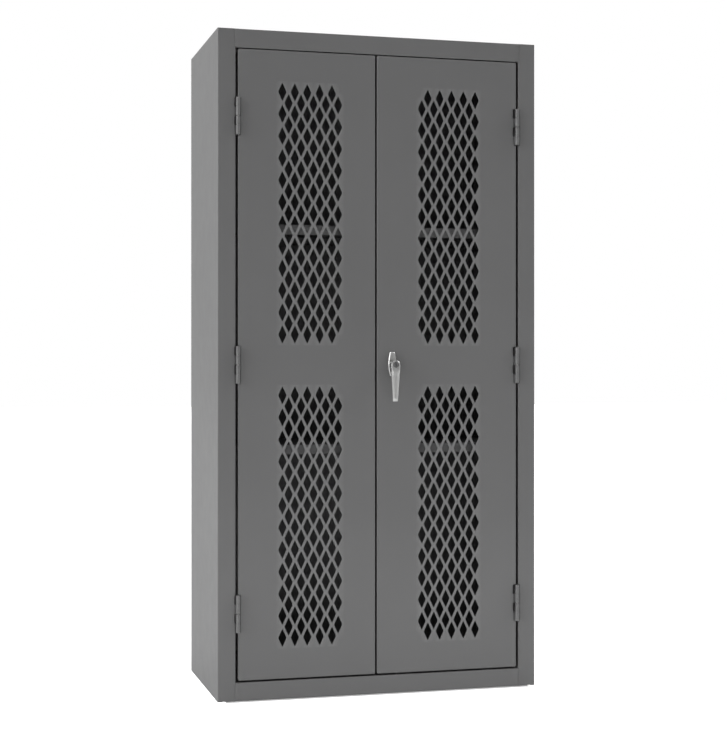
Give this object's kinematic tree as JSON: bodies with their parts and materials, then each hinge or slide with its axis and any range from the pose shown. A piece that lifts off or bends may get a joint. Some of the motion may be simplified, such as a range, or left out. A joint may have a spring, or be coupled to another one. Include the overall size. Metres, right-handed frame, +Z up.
{
  "type": "ventilated cabinet",
  "caption": "Tall grey steel cabinet with diamond-perforated double doors, proud side hinges, a hanging lever handle with bolt rods and adjustable inner shelves.",
  "frame": {"origin": "on the floor, under the middle of the outer box, handle included", "axes": "+Z up, -Y out of the door front, +X to the right door's hinges"},
  "size_m": [0.9144, 0.5098, 1.8288],
  "materials": {
    "painted_steel": "satin grey powder coat",
    "plated_steel": "zinc plated",
    "cast_handle": "satin plated casting",
    "lock_barrel": "dark satin"
  },
  "bodies": {
    "cabinet": {"left_side_panel": "painted_steel", "right_side_panel": "painted_steel", "back_panel": "painted_steel", "top_panel": "painted_steel", "bottom_panel": "painted_steel", "front_left_standard": "painted_steel", "front_right_standard": "painted_steel", "rear_left_standard": "painted_steel", "rear_right_standard": "painted_steel", "lower_shelf": "painted_steel", "upper_shelf": "painted_steel", "lower_front_left_clip": "plated_steel", "lower_front_right_clip": "plated_steel", "lower_rear_left_clip": "plated_steel", "lower_rear_right_clip": "plated_steel", "upper_front_left_clip": "plated_steel", "upper_front_right_clip": "plated_steel", "upper_rear_left_clip": "plated_steel", "upper_rear_right_clip": "plated_steel", "left_lower_frame_leaf": "painted_steel", "left_middle_frame_leaf": "painted_steel", "left_upper_frame_leaf": "painted_steel", "right_lower_frame_leaf": "painted_steel", "right_middle_frame_leaf": "painted_steel", "right_upper_frame_leaf": "painted_steel", "left_lower_hinge_pin": "plated_steel", "left_middle_hinge_pin": "plated_steel", "left_upper_hinge_pin": "plated_steel", "right_lower_hinge_pin": "plated_steel", "right_middle_hinge_pin": "plated_steel", "right_upper_hinge_pin": "plated_steel"},
    "left_door": {"left_door_panel": "painted_steel", "left_door_stiffener": "painted_steel", "left_lower_door_leaf": "painted_steel", "left_middle_door_leaf": "painted_steel", "left_upper_door_leaf": "painted_steel"},
    "right_door": {"right_door_panel": "painted_steel", "right_door_stiffener": "painted_steel", "right_lower_door_leaf": "painted_steel", "right_middle_door_leaf": "painted_steel", "right_upper_door_leaf": "painted_steel", "handle_plate": "cast_handle", "lower_lock_rod_guide": "plated_steel", "lower_tip_rod_guide": "plated_steel", "upper_lock_rod_guide": "plated_steel", "upper_tip_rod_guide": "plated_steel"},
    "handle": {"lever": "cast_handle", "spindle": "plated_steel", "cam_plate": "plated_steel", "cam_screw": "plated_steel"},
    "lock_plug": {"lock_plug": "lock_barrel"},
    "upper_rod": {"upper_bolt_rod": "plated_steel"},
    "lower_rod": {"lower_bolt_rod": "plated_steel"}
  },
  "joints": [
    {"name": "left_door_swing", "type": "hinge", "parent": "cabinet", "child": "left_door", "pos_m": [-0.4023, -0.22225, 0.9144], "axis": [0, 0, -1], "range_deg": [0, 180]},
    {"name": "right_door_swing", "type": "hinge", "parent": "cabinet", "child": "right_door", "pos_m": [0.4023, -0.22225, 0.9144], "axis": [0, 0, 1], "range_deg": [0, 180]},
    {"name": "handle_turn", "type": "hinge", "parent": "right_door", "child": "handle", "pos_m": [0.034, -0.21495, 0.915], "axis": [0, -1, 0], "range_deg": [0, 90]},
    {"name": "lock_plug_turn", "type": "hinge", "parent": "handle", "child": "lock_plug", "pos_m": [0.034, -0.21495, 0.915], "axis": [0, -1, 0], "range_deg": [0, 90]},
    {"name": "upper_rod_slide", "type": "slide", "parent": "right_door", "child": "upper_rod", "axis": [0, 0, -1], "range_m": [0, 0.0255]},
    {"name": "lower_rod_slide", "type": "slide", "parent": "right_door", "child": "lower_rod", "axis": [0, 0, 1], "range_m": [0, 0.0255]}
  ],
  "couplings": [
    {"joint": "upper_rod_slide", "follows": "handle_turn", "m_per_rad": 0.016206},
    {"joint": "lower_rod_slide", "follows": "handle_turn", "m_per_rad": 0.016206}
  ]
}
